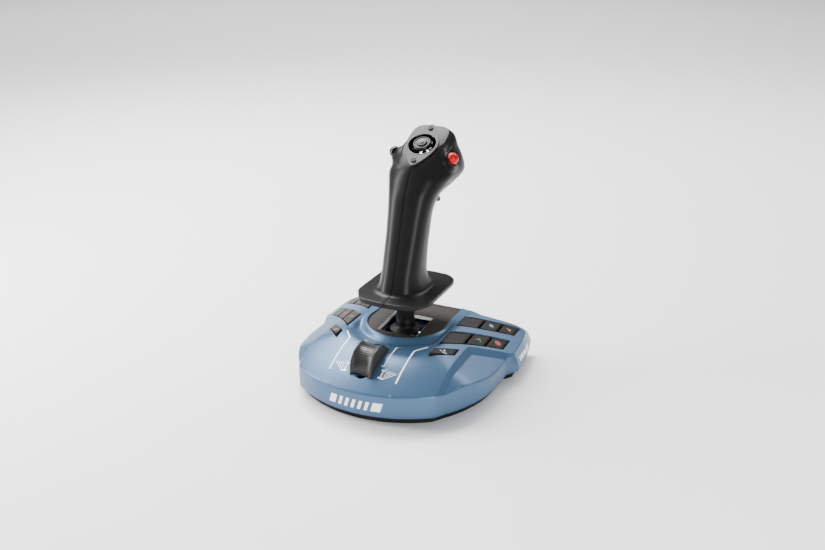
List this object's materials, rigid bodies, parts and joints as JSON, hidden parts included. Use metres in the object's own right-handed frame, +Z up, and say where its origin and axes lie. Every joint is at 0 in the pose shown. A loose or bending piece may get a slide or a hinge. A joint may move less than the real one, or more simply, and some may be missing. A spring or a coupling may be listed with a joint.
{
  "type": "flight joystick",
  "caption": "Desk flight joystick: tilting, twisting stick with hat, trigger and thumb buttons on a blue base with banked keys and a sliding throttle.",
  "frame": {"origin": "on the table plane, below the centre of the whole object's bounding box", "axes": "+X to the user's right, +Y away from the user, +Z up"},
  "size_m": [0.206, 0.186, 0.2232],
  "materials": {
    "base_paint": "satin metallic",
    "black_plastic": "matte",
    "rubber": "matte",
    "steel": "satin",
    "umber_plastic": "satin",
    "grey_nylon": "satin",
    "circuit_board": "satin",
    "white_plastic": "satin",
    "alloy": "machined",
    "black_alloy": "satin",
    "black_gloss": "gloss",
    "grip_black": "satin",
    "hat_grey": "satin",
    "red_gloss": "gloss",
    "umber_gloss": "satin"
  },
  "bodies": {
    "base": {"base_top_shell": "base_paint", "base_bottom_shell": "black_plastic", "rubber_feet": "rubber", "base_screws": "steel", "ballast_plates": "steel", "gimbal_cover_plate": "umber_plastic", "gimbal_housing": "grey_nylon", "housing_screws": "steel", "main_board": "circuit_board", "sensor_board": "circuit_board", "usb_c_socket": "steel", "key_boards": "circuit_board", "key_switches": "white_plastic", "throttle_track": "grey_nylon"},
    "gimbal": {"gimbal_ring": "alloy", "pitch_pins": "steel", "roll_pin": "steel"},
    "shaft": {"stick_shaft": "black_alloy", "centring_cup": "white_plastic", "centring_spring": "steel", "dust_skirt": "black_gloss", "shaft_magnet": "steel", "twist_collar": "steel"},
    "grip": {"twist_bushing": "white_plastic", "grip_left_shell": "grip_black", "grip_right_shell": "grip_black", "grip_screws": "steel", "hat_plate": "hat_grey", "hat_plate_screws": "black_alloy", "hat_bowl": "black_gloss", "grip_board": "circuit_board", "trigger_switch": "black_plastic", "trigger_pin": "steel"},
    "hat_ring": {"hat_ring": "steel"},
    "hat_cap": {"hat_cap": "black_gloss"},
    "red_button": {"red_button": "red_gloss"},
    "black_button": {"black_button": "black_gloss"},
    "trigger": {"trigger": "grip_black"},
    "throttle": {"throttle_cap": "umber_gloss", "throttle_carriage": "black_plastic"},
    "key_right_single": {"key_right_single": "umber_gloss"},
    "key_right_a1": {"key_right_a1": "umber_gloss"},
    "key_right_a2": {"key_right_a2": "umber_gloss"},
    "key_right_a3": {"key_right_a3": "umber_gloss"},
    "key_right_b1": {"key_right_b1": "umber_gloss"},
    "key_right_b2": {"key_right_b2": "umber_gloss"},
    "key_right_b3": {"key_right_b3": "umber_gloss"},
    "key_left_single": {"key_left_single": "umber_gloss"},
    "key_left_a1": {"key_left_a1": "umber_gloss"},
    "key_left_a2": {"key_left_a2": "umber_gloss"},
    "key_left_a3": {"key_left_a3": "umber_gloss"},
    "key_left_b1": {"key_left_b1": "umber_gloss"},
    "key_left_b2": {"key_left_b2": "umber_gloss"},
    "key_left_b3": {"key_left_b3": "umber_gloss"}
  },
  "joints": [
    {"name": "stick_pitch", "type": "hinge", "parent": "base", "child": "gimbal", "pos_m": [0, 0.011, 0.024], "axis": [1, 0, 0], "range_deg": [-18, 18], "stiffness_Nm_per_rad": 1.6},
    {"name": "stick_roll", "type": "hinge", "parent": "gimbal", "child": "shaft", "pos_m": [0, 0.011, 0.024], "axis": [0, 1, 0], "range_deg": [-18, 18], "stiffness_Nm_per_rad": 1.6},
    {"name": "stick_twist", "type": "hinge", "parent": "shaft", "child": "grip", "pos_m": [0, 0.011, 0.09], "axis": [0, 0, 1], "range_deg": [-20, 20], "stiffness_Nm_per_rad": 0.5},
    {"name": "hat_pitch", "type": "hinge", "parent": "grip", "child": "hat_ring", "pos_m": [0, 0.05306, 0.20043], "axis": [1, 0, 0], "range_deg": [-9, 9], "stiffness_Nm_per_rad": 0.02},
    {"name": "hat_roll", "type": "hinge", "parent": "hat_ring", "child": "hat_cap", "pos_m": [0, 0.05306, 0.20043], "axis": [0, 0.8746, 0.4848], "range_deg": [-9, 9], "stiffness_Nm_per_rad": 0.02},
    {"name": "red_button_press", "type": "slide", "parent": "grip", "child": "red_button", "axis": [-0.8295, 0.2079, -0.5183], "range_m": [0, 0.0015], "stiffness_N_per_m": 600},
    {"name": "black_button_press", "type": "slide", "parent": "grip", "child": "black_button", "axis": [0.8295, 0.2079, -0.5183], "range_m": [0, 0.0015], "stiffness_N_per_m": 600},
    {"name": "trigger_pull", "type": "hinge", "parent": "grip", "child": "trigger", "pos_m": [0, 0.061, 0.178], "axis": [1, 0, 0], "range_deg": [-10, 0], "stiffness_Nm_per_rad": 0.3},
    {"name": "throttle_slide", "type": "hinge", "parent": "base", "child": "throttle", "pos_m": [0, -0.027, -0.052], "axis": [1, 0, 0], "range_deg": [-10, 3.5]},
    {"name": "key_right_single_press", "type": "slide", "parent": "base", "child": "key_right_single", "axis": [-0.3686, 0, -0.9296], "range_m": [0, 0.0008], "stiffness_N_per_m": 900},
    {"name": "key_right_a1_press", "type": "slide", "parent": "base", "child": "key_right_a1", "axis": [-0.369, 0, -0.9294], "range_m": [0, 0.0008], "stiffness_N_per_m": 900},
    {"name": "key_right_a2_press", "type": "slide", "parent": "base", "child": "key_right_a2", "axis": [-0.4054, 0, -0.9141], "range_m": [0, 0.0008], "stiffness_N_per_m": 900},
    {"name": "key_right_a3_press", "type": "slide", "parent": "base", "child": "key_right_a3", "axis": [-0.4362, 0, -0.8998], "range_m": [0, 0.0008], "stiffness_N_per_m": 900},
    {"name": "key_right_b1_press", "type": "slide", "parent": "base", "child": "key_right_b1", "axis": [-0.369, 0, -0.9294], "range_m": [0, 0.0008], "stiffness_N_per_m": 900},
    {"name": "key_right_b2_press", "type": "slide", "parent": "base", "child": "key_right_b2", "axis": [-0.4054, 0, -0.9141], "range_m": [0, 0.0008], "stiffness_N_per_m": 900},
    {"name": "key_right_b3_press", "type": "slide", "parent": "base", "child": "key_right_b3", "axis": [-0.4362, 0, -0.8998], "range_m": [0, 0.0008], "stiffness_N_per_m": 900},
    {"name": "key_left_single_press", "type": "slide", "parent": "base", "child": "key_left_single", "axis": [0.3686, 0, -0.9296], "range_m": [0, 0.0008], "stiffness_N_per_m": 900},
    {"name": "key_left_a1_press", "type": "slide", "parent": "base", "child": "key_left_a1", "axis": [0.369, 0, -0.9294], "range_m": [0, 0.0008], "stiffness_N_per_m": 900},
    {"name": "key_left_a2_press", "type": "slide", "parent": "base", "child": "key_left_a2", "axis": [0.4054, 0, -0.9141], "range_m": [0, 0.0008], "stiffness_N_per_m": 900},
    {"name": "key_left_a3_press", "type": "slide", "parent": "base", "child": "key_left_a3", "axis": [0.4362, 0, -0.8998], "range_m": [0, 0.0008], "stiffness_N_per_m": 900},
    {"name": "key_left_b1_press", "type": "slide", "parent": "base", "child": "key_left_b1", "axis": [0.369, 0, -0.9294], "range_m": [0, 0.0008], "stiffness_N_per_m": 900},
    {"name": "key_left_b2_press", "type": "slide", "parent": "base", "child": "key_left_b2", "axis": [0.4054, 0, -0.9141], "range_m": [0, 0.0008], "stiffness_N_per_m": 900},
    {"name": "key_left_b3_press", "type": "slide", "parent": "base", "child": "key_left_b3", "axis": [0.4362, 0, -0.8998], "range_m": [0, 0.0008], "stiffness_N_per_m": 900}
  ]
}
